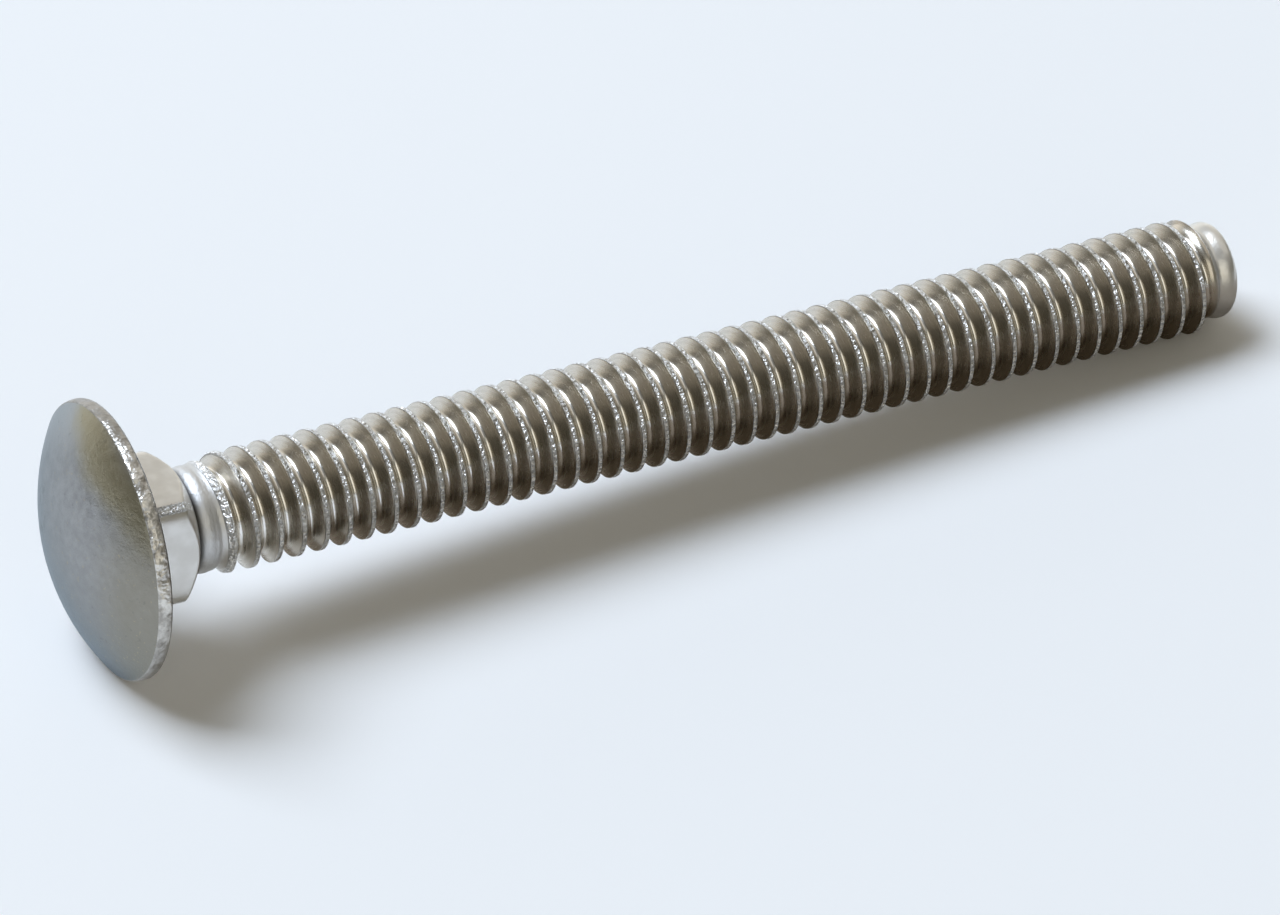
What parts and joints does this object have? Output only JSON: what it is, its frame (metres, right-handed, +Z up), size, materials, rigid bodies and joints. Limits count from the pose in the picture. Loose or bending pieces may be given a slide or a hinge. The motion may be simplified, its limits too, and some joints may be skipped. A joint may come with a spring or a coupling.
{
  "type": "carriage bolt",
  "caption": "Carriage bolt with a low domed round head, a tapered square neck under it and a thread along the whole shank to a smooth point.",
  "frame": {"origin": "under the middle of the bolt's bounding box, on the surface that it lies on", "axes": "+X along the bolt from head to point, +Z up. The bolt's own axis lies in the XZ plane and drops 3.80 degrees towards the point, because it rests on the head's rim and the thread's end"},
  "size_m": [0.0666, 0.0144, 0.0144],
  "materials": {
    "stainless_steel": "cold headed and rolled stainless steel, tumbled to a dull satin on the head, smoother on the thread's flanks"
  },
  "bodies": {
    "root": {"bolt": "stainless_steel"}
  },
  "joints": []
}
